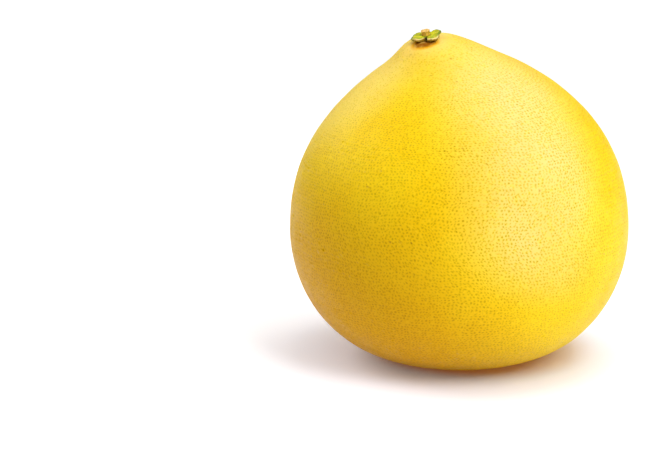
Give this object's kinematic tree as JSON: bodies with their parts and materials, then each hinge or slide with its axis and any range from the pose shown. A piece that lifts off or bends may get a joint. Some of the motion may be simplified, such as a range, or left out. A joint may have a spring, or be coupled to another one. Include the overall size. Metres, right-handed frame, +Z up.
{
  "type": "pomelo",
  "caption": "Whole ripe pomelo, broad and round below with a blunt leaning neck, its green calyx and the woody stub of the cut stem still on it.",
  "frame": {"origin": "on the resting surface, under the middle of the fruit's widest girth", "axes": "+Z up through the fruit; the neck leans towards -X and towards -Y, the side that faces the viewer"},
  "size_m": [0.1554, 0.1547, 0.153],
  "materials": {
    "skin": "bright yellow waxy citrus rind, satin, with fine oil-gland dots",
    "calyx": "yellow-green fleshy sepals with cream cut edges, matt",
    "stem_wood": "dry tan wood, cut across"
  },
  "bodies": {
    "root": {"fruit": "skin", "calyx": "calyx", "stem_stub": "stem_wood"}
  },
  "joints": []
}
